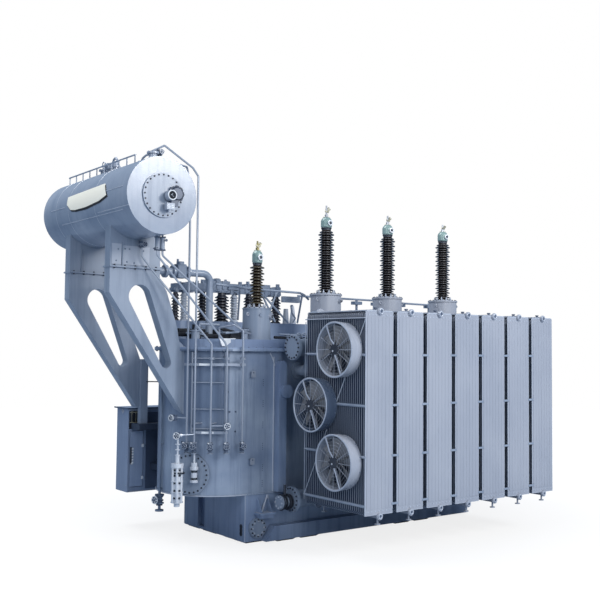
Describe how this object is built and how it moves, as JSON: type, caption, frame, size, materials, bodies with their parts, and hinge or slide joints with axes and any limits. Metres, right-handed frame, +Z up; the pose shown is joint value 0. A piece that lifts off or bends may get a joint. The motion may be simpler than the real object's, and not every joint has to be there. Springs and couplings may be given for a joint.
{
  "type": "power transformer",
  "caption": "Oil-filled power transformer with rounded tank, conservator drum on slotted brackets, radiator bank, axial fans, high voltage bushings and a control cabinet.",
  "frame": {"origin": "centre of the lower tank at ground level, on the underside of its feet", "axes": "+X along the tank away from the conservator, +Y away from the radiators, +Z up"},
  "size_m": [8.1799, 4.785, 5.9929],
  "materials": {
    "brass": "dull",
    "fan_paint": "brown-grey",
    "galvanised": "dull zinc",
    "grey_porcelain": "light grey glaze",
    "head_paint": "green-grey enamel",
    "paint": "satin blue-grey enamel",
    "porcelain": "dark brown glaze"
  },
  "bodies": {
    "root": {"base_feet": "paint", "bracket_post": "paint", "breathers": "galvanised", "busbar_duct": "paint", "bushing_heads": "head_paint", "bushing_terminals": "brass", "cabinet_beams": "paint", "conservator_cover": "paint", "conservator_rail": "paint", "conservator_shell": "paint", "control_cabinet": "paint", "dark_rear_bushings": "porcelain", "drain_pipe": "paint", "fan_shroud_1": "paint", "fan_shroud_2": "paint", "fan_shroud_3": "paint", "far_bracket": "paint", "gas_relay": "paint", "hv_bushings": "porcelain", "hv_turrets": "paint", "jacking_pads": "paint", "ladder": "paint", "level_gauge": "paint", "lower_header": "paint", "main_oil_pipe": "paint", "manhole_cover": "paint", "near_bracket": "paint", "neutral_bushing": "porcelain", "neutral_turret": "paint", "oil_pipes": "galvanised", "pale_rear_bushings": "grey_porcelain", "pipe_valves": "galvanised", "radiator_1": "paint", "radiator_2": "paint", "radiator_3": "paint", "radiator_4": "paint", "radiator_5": "paint", "radiator_6": "paint", "radiator_7": "paint", "radiator_ties": "paint", "side_flange": "paint", "tank_base": "paint", "tank_cover": "paint", "tank_shell": "paint", "upper_header": "paint", "wall_stiffeners": "paint"},
    "fan_1": {"fan_rotor_1": "fan_paint"},
    "fan_2": {"fan_rotor_2": "fan_paint"},
    "fan_3": {"fan_rotor_3": "fan_paint"},
    "door": {"cabinet_door": "paint"}
  },
  "joints": [
    {"name": "fan_1_spin", "type": "hinge", "parent": "root", "child": "fan_1", "pos_m": [-1.9, -2.394, 2.98], "axis": [-1, 0, 0], "continuous": true},
    {"name": "fan_2_spin", "type": "hinge", "parent": "root", "child": "fan_2", "pos_m": [-1.9, -1.84, 2.155], "axis": [-1, 0, 0], "continuous": true},
    {"name": "fan_3_spin", "type": "hinge", "parent": "root", "child": "fan_3", "pos_m": [-1.9, -2.394, 1.358], "axis": [-1, 0, 0], "continuous": true},
    {"name": "cabinet_door_swing", "type": "hinge", "parent": "root", "child": "door", "pos_m": [-3.124, 1.186, 1.065], "axis": [0, 0, 1], "range_deg": [0, 110]}
  ]
}
